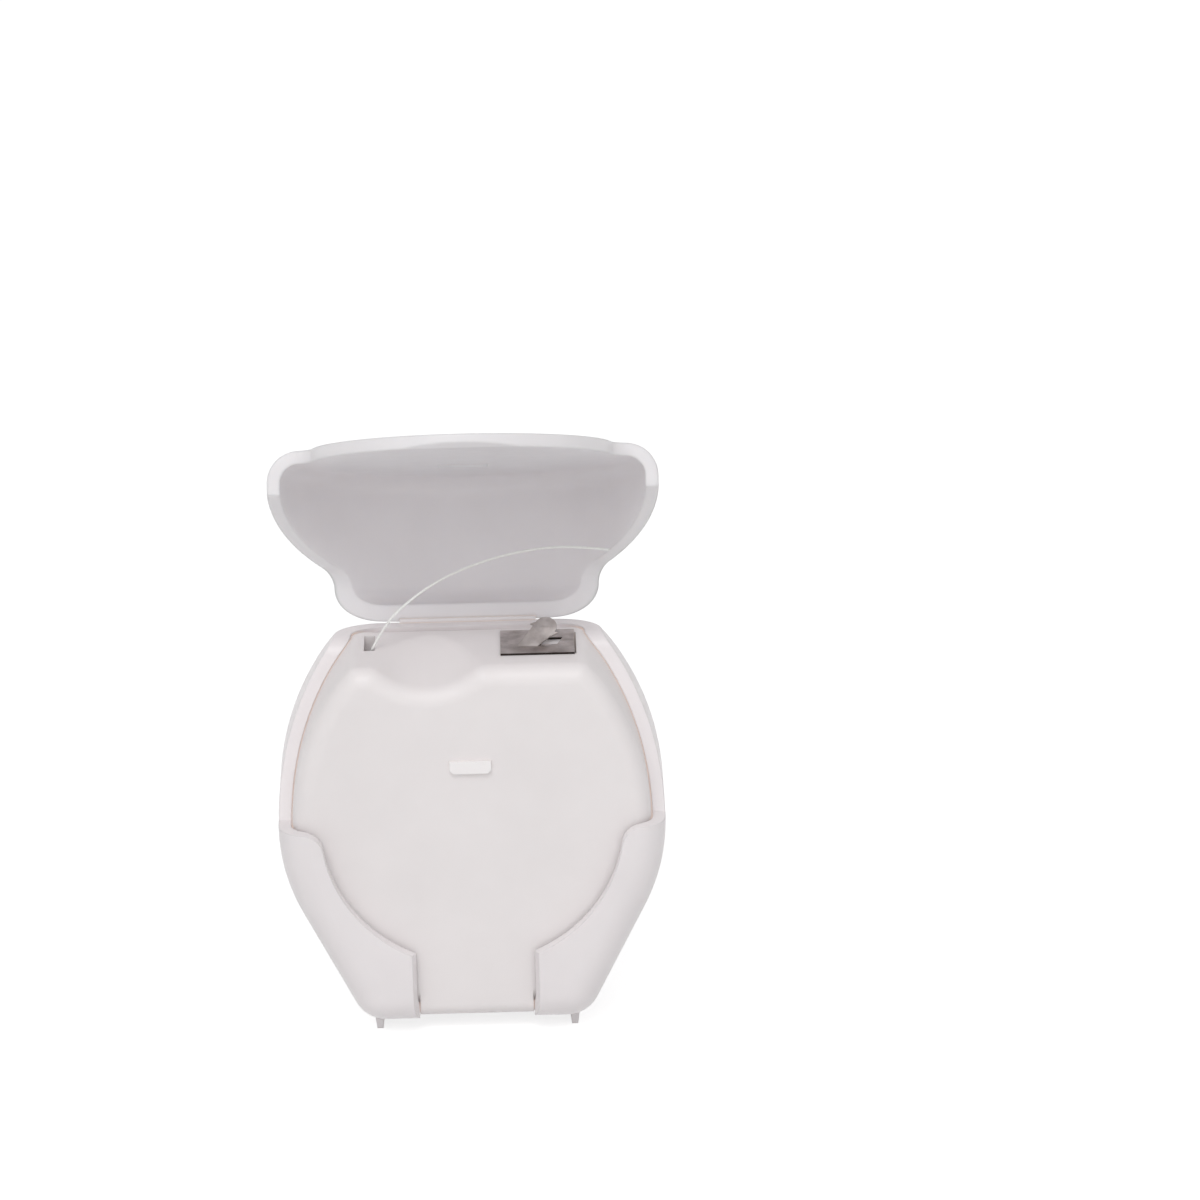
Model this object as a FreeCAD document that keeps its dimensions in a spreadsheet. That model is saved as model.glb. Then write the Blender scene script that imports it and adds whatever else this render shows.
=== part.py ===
"""Dental floss dispenser: a hinged case with an inner housing, a cutter and a floss spool.

Millimetres and degrees. X runs to the right, Y to the back and Z up. The origin lies on the
surface that the feet stand on, under the middle of the case. The lid is modelled shut and is
then turned open about its hinge, the way the dispenser stands ready for use.
"""
import FreeCAD
import Part
import Sketcher
import math
import os

Vector = FreeCAD.Vector

# Driving dimensions: alias, value, what it sets.
DIMENSIONS = [
    ("case_width", 50.8, "overall width at the widest level"),
    ("case_depth", 21.0, "front face to back face"),
    ("case_height", 49.5, "underside of the case to the hinge line"),
    ("dome_rise", 7.8, "hinge line to the top of the closed lid"),
    ("dome_inset", 1.9, "radius over the top of the closed lid, short of half the width"),
    ("upper_side_radius", 36.0, "side arc from the dome to the widest level"),
    ("lower_side_excess", 3.32, "radius of the lower sides, beyond their height"),
    ("base_inset", 13.4, "ends of the underside's flat, in from the widest level"),
    ("base_corner_radius", 4.5, "lower corners of the front outline"),
    ("front_edge_radius", 4.2, "round between the front face and the sides"),
    ("back_edge_radius", 4.4, "round between the back face and the sides"),
    ("wall", 1.7, "wall of the case and of the lid"),
    ("hinge_wall", 2.2, "wall of the lid along its hinge"),
    ("foot_height", 1.8, "underside of the case above the surface"),
    ("foot_outset", 0.9, "middle of each foot beyond the end of the underside's flat"),
    ("foot_width", 1.3, "foot where it meets the case"),
    ("foot_sole", 0.8, "flat sole of a foot"),
    ("foot_length", 12.0, "foot from front to back"),
    ("parting_gap", 0.2, "groove between the lid and the case"),
    ("rim_run", 6.4, "level stretch of rim ahead of the hinge"),
    ("shoulder_run", 15.3, "hinge line forward to the shoulder of the rim"),
    ("shoulder_drop", 21.75, "hinge line down to the shoulder of the rim"),
    ("rim_corner_radius", 3.0, "round where the rim turns down ahead of the hinge"),
    ("tongue_inset", 5.8, "round lower edge of the lid's front, in from the widest level"),
    ("tongue_drop", 21.3, "hinge line down to the middle of that round"),
    ("grip_height", 1.6, "finger relief inside the tip of that round"),
    ("grip_depth", 0.6, "finger relief at the tip, out of the wall"),
    ("wing_corner_radius", 3.0, "upper inner corner of each wing of the case"),
    ("notch_width", 15.2, "thumb notch at its floor"),
    ("notch_slope", 0.7, "sideways run of each sloped side of the notch"),
    ("seam_gap", 0.12, "between the inner housing and the shells around it"),
    ("housing_setback", 2.4, "inner housing's front behind the case's front"),
    ("housing_wall", 1.2, "walls of the inner housing"),
    ("lip_depth", 2.6, "lip under the housing's front, from front to back"),
    ("lip_raise", 0.25, "lip above the underside of the case"),
    ("lip_edge_radius", 2.0, "lower front edge of the lip"),
    ("housing_edge_radius", 2.4, "front edge of the inner housing"),
    ("deck_corner_radius", 2.2, "upper corners of the inner housing"),
    ("deck_thickness", 5.2, "deck of the inner housing over the spool chamber"),
    ("scoop_radius", 9.5, "finger scoop in the deck"),
    ("scoop_inset", 9.76, "middle of the finger scoop, in from the deck's left edge"),
    ("scoop_depth", 3.0, "finger scoop below the deck at the front"),
    ("scoop_back_gap", 4.4, "finger scoop's fall begins this far ahead of the deck's back edge"),
    ("scoop_edge_radius", 3.0, "round between the scoop and the deck"),
    ("exit_inset", 2.26, "middle of the exit slot, in from the deck's left edge"),
    ("hook_inset", 1.16, "hooked end of the cutter, in from the deck's right edge"),
    ("slot_width", 1.4, "exit slot"),
    ("slot_length", 5.7, "exit slot from front to back"),
    ("slot_reach", 10.4, "front end of the exit slot ahead of the hinge line"),
    ("cutter_slot_depth", 2.4, "blind slot for the cutter's hook"),
    ("rib_width", 5.5, "snap rib on the housing's front"),
    ("rib_height", 1.7, "snap rib, top to bottom"),
    ("rib_drop", 12.8, "hinge line down to the top of the snap rib"),
    ("rib_stand", 0.5, "snap rib proud of the housing's front"),
    ("rib_chamfer", 0.5, "lower corners of the snap rib"),
    ("catch_width", 6.5, "catch rib inside the lid"),
    ("catch_height", 0.5, "catch rib, top to bottom"),
    ("catch_stand", 0.4, "catch rib proud of the lid's inner face"),
    ("catch_gap", 0.35, "catch rib below the snap rib when shut"),
    ("hinge_width", 18.0, "length of the living hinge"),
    ("hinge_radius", 0.3, "folded web of the living hinge"),
    ("hinge_clearance", 0.04, "hinge web to the grooves that hold it"),
    ("lid_angle", 114.0, "lid's opening where the dispenser stands ready"),
    ("label_margin", 1.85, "oval label inside the sides of the lid's tongue"),
    ("label_top", 2.15, "top of the label above the hinge line"),
    ("label_tip_gap", 1.55, "label above the tip of the lid's tongue"),
    ("label_thickness", 0.12, "label film"),
    ("spool_rise", 0.85, "spool's axis above the middle of its chamber"),
    ("post_radius", 4.0, "post that carries the spool"),
    ("post_clearance", 0.08, "spool bore around the post"),
    ("post_end_gap", 1.0, "post to the housing's front wall"),
    ("hub_radius", 5.6, "spool hub outside"),
    ("flange_side_gap", 5.0, "spool flanges to the chamber's sides at the widest level"),
    ("flange_end_gap", 3.15, "spool flanges short of half the chamber's height"),
    ("flange_thickness", 1.0, "spool flanges"),
    ("spool_play", 0.4, "spool to the walls at both ends"),
    ("winding_margin", 2.5, "floss on the spool below the flanges' edge"),
    ("floss_diameter", 0.5, "floss thread"),
    ("lead_gap", 0.3, "floss leaving the winding, clear of its surface"),
    ("cutter_thickness", 0.3, "steel sheet of the cutter"),
    ("cutter_width", 9.7, "cutter plate from its left edge to its hooked end"),
    ("cutter_length", 8.7, "cutter plate from front to back"),
    ("cutter_reach", 13.5, "cutter plate's front edge ahead of the hinge line"),
    ("hook_depth", 1.8, "right end of the cutter turned down into its slot"),
    ("hook_end", 0.6, "hook short of the plate's front and back edges"),
    ("hook_play", 0.2, "cutter slot around the hook"),
    ("blade_setback", 2.6, "root of the blade behind the cutter's front edge"),
    ("blade_lean", 52.0, "blade leaning back from upright"),
    ("blade_left", 2.1, "root of the blade from the plate's left edge"),
    ("blade_root", 2.7, "length of the blade's root"),
    ("blade_tip_radius", 1.45, "rounded tip of the blade"),
    ("blade_tip_offset", 6.0, "middle of the blade's tip from the plate's left edge"),
    ("blade_rise", 3.05, "root of the blade to the middle of its tip"),
    ("blade_barb", 0.5, "barbs cut in the blade's edges"),
]

# Free end of the floss from the exit to the end: X from the middle of the exit slot, Y back from
# the hinge line and Z above it.
STRAND_ROUTE = [
    (0.3, -10.0, -0.3),
    (2.1, -9.8, 3.1),
    (4.9, -9.4, 5.9),
    (9.7, -8.4, 9.0),
    (16.4, -6.8, 11.05),
    (23.1, -5.3, 11.8),
    (28.5, -4.4, 11.35),
    (31.8, -3.9, 10.7),
]
ARC_SHARE = 0.45
SPARE = 5.0
VOLUME_TOLERANCE = 0.02


class Size:
    """A length or an angle that knows its number and the spreadsheet formula behind it."""

    def __init__(self, number, formula):
        self.number = number
        self.formula = formula

    @staticmethod
    def of(other):
        if isinstance(other, Size):
            return other
        return Size(float(other), repr(float(other)))

    def combine(self, other, sign, number):
        return Size(number, f"({self.formula} {sign} {Size.of(other).formula})")

    def __add__(self, other):
        return self.combine(other, "+", self.number + Size.of(other).number)

    def __sub__(self, other):
        return self.combine(other, "-", self.number - Size.of(other).number)

    def __mul__(self, other):
        return self.combine(other, "*", self.number * Size.of(other).number)

    def __truediv__(self, other):
        return self.combine(other, "/", self.number / Size.of(other).number)

    def __neg__(self):
        return Size(-self.number, f"(0 - {self.formula})")

    def smaller(self, other):
        number = min(self.number, other.number)
        return Size(number, f"min({self.formula}; {other.formula})")

    def root(self):
        return Size(math.sqrt(self.number), f"sqrt({self.formula})")

    def angle(self):
        return Size(math.degrees(math.atan(self.number)), f"atan({self.formula})")


document = FreeCAD.newDocument("FlossDispenser")
sheet = document.addObject("Spreadsheet::Sheet", "Sizes")
for row, (alias, number, meaning) in enumerate(DIMENSIONS, start=1):
    sheet.set(f"A{row}", meaning)
    sheet.set(f"B{row}", str(number))
    sheet.setAlias(f"B{row}", alias)
document.recompute()


def size(alias):
    """The sheet's value of that alias, with its formula."""
    return Size(float(sheet.get(alias)), f"Sizes.{alias}")


# Levels and planes that several pieces share.
HALF_DEPTH = size("case_depth") / 2
HALF_WIDTH = size("case_width") / 2
BASE = size("foot_height")
HINGE_Z = BASE + size("case_height")
HINGE_Y = HALF_DEPTH
DECK_Z = HINGE_Z - size("parting_gap")
DOME_RADIUS = HALF_WIDTH - size("dome_inset")
DOME_CENTRE = HINGE_Z + size("dome_rise") - DOME_RADIUS
UPPER_RADIUS = size("upper_side_radius")
UPPER_X = HALF_WIDTH - UPPER_RADIUS
UPPER_REACH = UPPER_RADIUS - DOME_RADIUS
WIDEST_Z = DOME_CENTRE - (UPPER_REACH * UPPER_REACH - UPPER_X * UPPER_X).root()
CORNER_Z = BASE + size("base_corner_radius")
LOWER_RADIUS = WIDEST_Z - CORNER_Z + size("lower_side_excess")
BASE_END = HALF_WIDTH - size("base_inset")
INNER_FRONT = HALF_DEPTH - size("wall")
HOUSING_FRONT = HALF_DEPTH - size("housing_setback")
HOUSING_INSET = size("wall") + size("seam_gap")
CHAMBER_INSET = HOUSING_INSET + size("housing_wall")
CHAMBER_FRONT = HOUSING_FRONT - size("housing_wall")
CHAMBER_LOW = BASE + CHAMBER_INSET
CHAMBER_TOP = DECK_Z - size("deck_thickness")
SPOOL_Z = (CHAMBER_LOW + CHAMBER_TOP) / 2 + size("spool_rise")
FLANGE_ACROSS = HALF_WIDTH - CHAMBER_INSET - size("flange_side_gap")
FLANGE_ALONG = (CHAMBER_TOP - CHAMBER_LOW) / 2 - size("flange_end_gap")
FLANGE_RADIUS = FLANGE_ACROSS.smaller(FLANGE_ALONG)
WINDING_RADIUS = FLANGE_RADIUS - size("winding_margin")
SHOULDER_Z = HINGE_Z - size("shoulder_drop")
TONGUE_Z = HINGE_Z - size("tongue_drop")
TONGUE_RADIUS = HALF_WIDTH - size("tongue_inset")
TONGUE_TIP = TONGUE_Z - TONGUE_RADIUS
SLOT_FRONT = HINGE_Y - size("slot_reach")
DECK_RADIUS = DOME_RADIUS - HOUSING_INSET
DECK_RISE = DECK_Z - DOME_CENTRE
DECK_END = (DECK_RADIUS * DECK_RADIUS - DECK_RISE * DECK_RISE).root()
EXIT_X = size("exit_inset") - DECK_END
SCOOP_X = size("scoop_inset") - DECK_END
HOOK_X = DECK_END - size("hook_inset")
CUTTER_FRONT = HINGE_Y - size("cutter_reach")
CUTTER_BACK = CUTTER_FRONT + size("cutter_length")
NOTCH_HALF = size("notch_width") / 2
RIB_TOP = HINGE_Z - size("rib_drop")


# Small helpers for the document.

def bind(feature, path, value):
    """Tie a property of a feature to the sheet."""
    feature.setExpression(path, Size.of(value).formula)


def new_body(name):
    return document.addObject("PartDesign::Body", name)


def new_sketch(body, role, offset=0.0):
    """A sketch on one of the body's origin planes, moved along the plane's normal by offset."""
    planes = [plane for plane in body.Origin.OriginFeatures if plane.Role == role]
    sketch = body.newObject("Sketcher::SketchObject", f"{body.Name}_sketch")
    sketch.AttachmentSupport = [(planes[0], "")]
    sketch.MapMode = "FlatFace"
    bind(sketch, "AttachmentOffset.Base.z", offset)
    return sketch


def measure(sketch, kind, where, value):
    """A dimension of a sketch, tied to the sheet."""
    value = Size.of(value)
    index = sketch.addConstraint(Sketcher.Constraint(kind, *where, value.number))
    sketch.setExpression(f"Constraints[{index}]", value.formula)


def place_point(sketch, geometry, end, x, y):
    """Hold one end of a sketch line at x, y from the sketch's origin."""
    measure(sketch, "DistanceX", (-1, 1, geometry, end), x)
    measure(sketch, "DistanceY", (-1, 1, geometry, end), y)


def polygon(sketch, corners):
    """A closed outline of straight lines through corners, each a pair of sizes."""
    corners = [(Size.of(x), Size.of(y)) for x, y in corners]
    points = [Vector(x.number, y.number, 0) for x, y in corners]
    lines = []
    for index, point in enumerate(points):
        following = points[(index + 1) % len(points)]
        lines.append(sketch.addGeometry(Part.LineSegment(point, following), False))
    for index, line in enumerate(lines):
        following = lines[(index + 1) % len(lines)]
        sketch.addConstraint(Sketcher.Constraint("Coincident", line, 2, following, 1))
    for line, (x, y) in zip(lines, corners):
        place_point(sketch, line, 1, x, y)


def rectangle(sketch, left, low, right, high):
    polygon(sketch, [(left, low), (right, low), (right, high), (left, high)])


def pad(body, sketch, length, reverse=False, symmetric=False):
    feature = body.newObject("PartDesign::Pad", f"{body.Name}_pad")
    feature.Profile = sketch
    bind(feature, "Length", length)
    feature.Reversed = reverse
    if symmetric:
        feature.SideType = "Symmetric"
    document.recompute()
    return feature


def pocket(body, sketch, length, reverse=False, symmetric=False):
    """A cut, which has to take something away."""
    before = body.Shape.Volume
    feature = body.newObject("PartDesign::Pocket", f"{body.Name}_pocket")
    feature.Profile = sketch
    bind(feature, "Length", length)
    feature.Reversed = reverse
    if symmetric:
        feature.SideType = "Symmetric"
    document.recompute()
    if body.Shape.Volume >= before:
        raise RuntimeError(f"a pocket of {body.Name} cuts nothing")
    return feature


def mirror(body, feature):
    """The other half of a piece that is the same on both sides of the YZ plane."""
    planes = [plane for plane in body.Origin.OriginFeatures if plane.Role == "YZ_Plane"]
    copy = body.newObject("PartDesign::Mirrored", f"{body.Name}_mirror")
    copy.Originals = [feature]
    copy.MirrorPlane = (planes[0], [""])
    body.Tip = copy
    document.recompute()
    return copy


def edges_where(shape, test):
    """Names of the edges whose points all pass the test."""
    names = []
    for index, edge in enumerate(shape.Edges, start=1):
        if all(test(point) for point in edge.discretize(5)):
            names.append(f"Edge{index}")
    return names


def round_edges(body, test, radius):
    base = body.Tip
    edges = edges_where(base.Shape, test)
    feature = body.newObject("PartDesign::Fillet", f"{body.Name}_round")
    feature.Base = (base, edges)
    bind(feature, "Radius", radius)
    body.Tip = feature
    document.recompute()
    return feature


def on_plane(axis, level):
    """A test for points on a plane square to axis."""
    return lambda point: abs(getattr(point, axis) - level.number) < 1e-4


def block(name, low, high):
    """A box between two corners, each a triple of sizes."""
    solid = document.addObject("Part::Box", name)
    for prop, axis, start, end in zip(("Length", "Width", "Height"), "xyz", low, high):
        start = Size.of(start)
        end = Size.of(end)
        bind(solid, prop, end - start)
        bind(solid, f"Placement.Base.{axis}", start)
    return solid


def rod(name, radius, length, base, axis, turn):
    """A cylinder whose axis starts at base, turned from Z by turn degrees about axis."""
    solid = document.addObject("Part::Cylinder", name)
    solid.Placement = FreeCAD.Placement(Vector(), FreeCAD.Rotation(axis, turn))
    bind(solid, "Radius", radius)
    bind(solid, "Height", length)
    for letter, value in zip("xyz", base):
        bind(solid, f"Placement.Base.{letter}", value)
    return solid


def combine(kind, name, first, *others):
    """A chain of booleans of one kind, such as Part::Cut, on first."""
    result = first
    for index, other in enumerate(others):
        step = document.addObject(kind, f"{name}_{index}")
        step.Base = result
        step.Tool = other
        step.Refine = True
        result = step
    document.recompute()
    return result


# The rounded form that the case, the lid and the inner housing share.

def half_outline(sketch, inset):
    """Right half of the front outline, drawn in by inset: tangent arcs, a taper and the base."""
    dome_radius = DOME_RADIUS - inset
    upper_radius = UPPER_RADIUS - inset
    lower_radius = LOWER_RADIUS - inset
    corner_radius = size("base_corner_radius") - inset
    low = BASE + inset
    corner_x = BASE_END
    dome = Vector(0, DOME_CENTRE.number, 0)
    upper = Vector(UPPER_X.number, WIDEST_Z.number, 0)
    lower = Vector(HALF_WIDTH.number - LOWER_RADIUS.number, WIDEST_Z.number, 0)
    corner = Vector(corner_x.number, CORNER_Z.number, 0)
    join = math.atan2(dome.y - upper.y, dome.x - upper.x)
    between = lower - corner
    closing = (corner_radius.number - lower_radius.number) / between.Length
    taper = math.atan2(between.y, between.x) - math.acos(closing)

    def arc(centre, radius, start, end):
        circle = Part.Circle(centre, Vector(0, 0, 1), radius.number)
        return sketch.addGeometry(Part.ArcOfCircle(circle, start, end), False)

    def line(start, end):
        return sketch.addGeometry(Part.LineSegment(start, end), False)

    def rim(centre, radius, angle):
        return centre + Vector(math.cos(angle), math.sin(angle), 0) * radius.number

    top = rim(dome, dome_radius, math.pi / 2)
    dome_arc = arc(dome, dome_radius, join, math.pi / 2)
    upper_arc = arc(upper, upper_radius, 0, join)
    lower_arc = arc(lower, lower_radius, taper, 0)
    side = line(rim(lower, lower_radius, taper), rim(corner, corner_radius, taper))
    corner_arc = arc(corner, corner_radius, -math.pi / 2, taper)
    base_line = line(rim(corner, corner_radius, -math.pi / 2), Vector(0, low.number, 0))
    axis = line(Vector(0, low.number, 0), top)

    def join_ends(kind, first, first_end, second, second_end):
        sketch.addConstraint(Sketcher.Constraint(kind, first, first_end, second, second_end))

    join_ends("Tangent", dome_arc, 1, upper_arc, 2)
    join_ends("Tangent", upper_arc, 1, lower_arc, 2)
    join_ends("Tangent", lower_arc, 1, side, 1)
    join_ends("Tangent", side, 2, corner_arc, 2)
    join_ends("Tangent", corner_arc, 1, base_line, 1)
    join_ends("Coincident", base_line, 2, axis, 1)
    join_ends("Coincident", axis, 2, dome_arc, 2)
    sketch.addConstraint(Sketcher.Constraint("Horizontal", base_line))
    sketch.addConstraint(Sketcher.Constraint("PointOnObject", axis, 1, -2))
    sketch.addConstraint(Sketcher.Constraint("PointOnObject", axis, 2, -2))
    sketch.addConstraint(Sketcher.Constraint("PointOnObject", dome_arc, 3, -2))
    sketch.addConstraint(Sketcher.Constraint("Horizontal", upper_arc, 3, upper_arc, 1))
    measure(sketch, "Radius", (dome_arc,), dome_radius)
    measure(sketch, "Radius", (upper_arc,), upper_radius)
    measure(sketch, "Radius", (lower_arc,), lower_radius)
    measure(sketch, "Radius", (corner_arc,), corner_radius)
    measure(sketch, "DistanceY", (-1, 1, dome_arc, 3), DOME_CENTRE)
    measure(sketch, "DistanceX", (-1, 1, upper_arc, 1), HALF_WIDTH - inset)
    measure(sketch, "DistanceX", (-1, 1, corner_arc, 3), corner_x)
    measure(sketch, "DistanceY", (-1, 1, base_line, 2), low)


def rounded_form(name, inset, front, back):
    """The outline drawn in by inset, from front ahead of the middle to back behind it."""
    body = new_body(name)
    sketch = new_sketch(body, "XZ_Plane", front)
    half_outline(sketch, Size.of(inset))
    half = pad(body, sketch, Size.of(front) + back, reverse=True)
    mirror(body, half)
    return body


def trim_above(body, level):
    """Cut a form off flat at a level."""
    sketch = new_sketch(body, "YZ_Plane")
    far = size("case_depth")
    rectangle(sketch, -far, level, far, HINGE_Z + size("dome_rise") + SPARE)
    pocket(body, sketch, size("case_width") * 2, symmetric=True)


def case_form():
    """Outside of the closed dispenser."""
    body = rounded_form("CaseForm", 0.0, HALF_DEPTH, HALF_DEPTH)
    round_edges(body, on_plane("y", -HALF_DEPTH), size("front_edge_radius"))
    round_edges(body, on_plane("y", HALF_DEPTH), size("back_edge_radius"))
    return body


def cavity_form(name, back):
    """Hollow inside the walls of the case or the lid, to a back plane of its own."""
    body = rounded_form(name, size("wall"), INNER_FRONT, back)
    round_edges(body, on_plane("y", -INNER_FRONT), size("front_edge_radius") - size("wall"))
    round_edges(body, on_plane("y", back), size("back_edge_radius") - size("wall"))
    return body


# The parting between the lid and the case.

def lid_zone(name, gap, thickness):
    """Space of the lid when shut: all above its rim, and its tongue down the front."""
    gap = Size.of(gap)
    body = new_body(name)
    sketch = new_sketch(body, "YZ_Plane")
    rim_z = HINGE_Z - gap
    shoulder_z = SHOULDER_Z - gap
    corner_y = HINGE_Y - size("rim_run") + gap
    shoulder_y = HINGE_Y - size("shoulder_run") + gap
    high = HINGE_Z + size("dome_rise") + SPARE
    front = -(HALF_DEPTH + SPARE)
    polygon(sketch, [
        (HALF_DEPTH + SPARE, rim_z),
        (HALF_DEPTH + SPARE, high),
        (front, high),
        (front, shoulder_z),
        (shoulder_y, shoulder_z),
        (corner_y, rim_z),
    ])
    pad(body, sketch, size("case_width") + SPARE, symmetric=True)
    turn_y = on_plane("y", corner_y)
    turn_z = on_plane("z", rim_z)
    round_edges(body, lambda point: turn_y(point) and turn_z(point), size("rim_corner_radius") - gap)
    sketch = new_sketch(body, "XZ_Plane", HALF_DEPTH + SPARE)
    half_tongue(sketch, gap)
    half = pad(body, sketch, thickness + SPARE, reverse=True)
    mirror(body, half)
    return body


def half_tongue(sketch, gap):
    """Right half of the lid's tongue, grown by gap, with the wing's round corner beside it."""
    radius = TONGUE_RADIUS + gap
    corner_radius = size("wing_corner_radius") - gap
    shoulder = SHOULDER_Z - gap
    top = SHOULDER_Z + SPARE
    centre = Vector(0, TONGUE_Z.number, 0)
    corner_z = SHOULDER_Z.number - size("wing_corner_radius").number
    reach = TONGUE_RADIUS.number + size("wing_corner_radius").number
    corner_x = math.sqrt(reach ** 2 - (centre.y - corner_z) ** 2)
    corner = Vector(corner_x, corner_z, 0)
    meet = math.atan2(corner.y - centre.y, corner.x - centre.x)
    tip = centre - Vector(0, radius.number, 0)
    high = Vector(0, top.number, 0)
    outer = Vector(corner_x, top.number, 0)
    seat = Vector(corner_x, shoulder.number, 0)
    axis = sketch.addGeometry(Part.LineSegment(tip, high), False)
    upper = sketch.addGeometry(Part.LineSegment(high, outer), False)
    down = sketch.addGeometry(Part.LineSegment(outer, seat), False)
    circle = Part.Circle(corner, Vector(0, 0, 1), corner_radius.number)
    wing = sketch.addGeometry(Part.ArcOfCircle(circle, math.pi / 2, math.pi + meet), False)
    circle = Part.Circle(centre, Vector(0, 0, 1), radius.number)
    round_end = sketch.addGeometry(Part.ArcOfCircle(circle, -math.pi / 2, meet), False)
    for kind, first, first_end, second, second_end in (
        ("Coincident", axis, 2, upper, 1),
        ("Coincident", upper, 2, down, 1),
        ("Coincident", down, 2, wing, 1),
        ("Tangent", wing, 2, round_end, 2),
        ("Coincident", round_end, 1, axis, 1),
        ("Vertical", wing, 3, wing, 1),
    ):
        sketch.addConstraint(Sketcher.Constraint(kind, first, first_end, second, second_end))
    sketch.addConstraint(Sketcher.Constraint("PointOnObject", axis, 1, -2))
    sketch.addConstraint(Sketcher.Constraint("PointOnObject", axis, 2, -2))
    sketch.addConstraint(Sketcher.Constraint("PointOnObject", round_end, 3, -2))
    sketch.addConstraint(Sketcher.Constraint("Horizontal", upper))
    sketch.addConstraint(Sketcher.Constraint("Vertical", down))
    measure(sketch, "Radius", (wing,), corner_radius)
    measure(sketch, "Radius", (round_end,), radius)
    measure(sketch, "DistanceY", (-1, 1, round_end, 3), TONGUE_Z)
    measure(sketch, "DistanceY", (-1, 1, down, 2), shoulder)
    measure(sketch, "DistanceY", (-1, 1, upper, 1), top)


def hinge_rod(name, radius, length):
    """A rod on the hinge line."""
    base = (-(Size.of(length) / 2), HINGE_Y, HINGE_Z)
    return rod(name, radius, length, base, Vector(0, 1, 0), 90)


# The pieces.

def make_outer_case(form, cavity, clearance, groove):
    """Tray with the back, the sides, the base, two front wings, two feet and the spool's post."""
    notch = new_body("NotchCut")
    sketch = new_sketch(notch, "XY_Plane", BASE - SPARE)
    floor = -(HOUSING_FRONT - size("lip_depth") - size("seam_gap"))
    face = -HALF_DEPTH
    wide = NOTCH_HALF + size("notch_slope")
    polygon(sketch, [
        (-wide, face - SPARE),
        (wide, face - SPARE),
        (wide, face),
        (NOTCH_HALF, -HOUSING_FRONT),
        (NOTCH_HALF, floor),
        (-NOTCH_HALF, floor),
        (-NOTCH_HALF, -HOUSING_FRONT),
        (-wide, face),
    ])
    pad(notch, sketch, TONGUE_Z - BASE + SPARE)
    tray = combine("Part::Cut", "Tray", form, clearance, cavity, notch, groove)
    post_length = INNER_FRONT + CHAMBER_FRONT - size("post_end_gap") + size("wall") / 2
    post_base = (0.0, INNER_FRONT + size("wall") / 2, SPOOL_Z)
    post = rod("Post", size("post_radius"), post_length, post_base, Vector(1, 0, 0), 90)
    feet = [make_foot(side) for side in (-1, 1)]
    case = combine("Part::Fuse", "Case", tray, post, *feet)
    case.Label = "outer_case"
    return case


def make_foot(side):
    """A tapered ridge under one lower corner, from front to back."""
    body = new_body("Foot")
    sketch = new_sketch(body, "XZ_Plane", size("foot_length") / 2)
    middle = (BASE_END + size("foot_outset")) * side
    root = BASE + size("wall") * 0.7
    polygon(sketch, [
        (middle - size("foot_sole") / 2, 0.0),
        (middle + size("foot_sole") / 2, 0.0),
        (middle + size("foot_width") / 2, BASE),
        (middle + size("foot_width") / 2, root),
        (middle - size("foot_width") / 2, root),
        (middle - size("foot_width") / 2, BASE),
    ])
    pad(body, sketch, size("foot_length"), reverse=True)
    return body


def make_lid(form, cavity, zone, groove):
    """Shell over the top and the front, with a thin catch rib inside."""
    shell = combine("Part::Common", "LidBlock", form, zone)
    shell = combine("Part::Cut", "LidShell", shell, cavity, groove, make_grip_cut())
    top = RIB_TOP - size("rib_height") - size("catch_gap")
    half = size("catch_width") / 2
    catch = block(
        "Catch",
        (-half, -INNER_FRONT - size("wall") / 2, top - size("catch_height")),
        (half, -INNER_FRONT + size("catch_stand"), top),
    )
    lid = combine("Part::Fuse", "Lid", shell, catch)
    lid.Label = "lid"
    return lid


def make_grip_cut():
    """Sloped relief on the inner edge of the tongue's tip, where a finger lifts the lid."""
    body = new_body("GripCut")
    high = TONGUE_TIP + size("grip_height")
    low = TONGUE_TIP - size("grip_height")
    sketch = new_sketch(body, "YZ_Plane")
    polygon(sketch, [
        (-INNER_FRONT, high),
        (-INNER_FRONT - size("grip_depth") * 2, low),
        (-INNER_FRONT + SPARE, low),
        (-INNER_FRONT + SPARE, high),
    ])
    pad(body, sketch, TONGUE_RADIUS * 2, symmetric=True)
    return body


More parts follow.
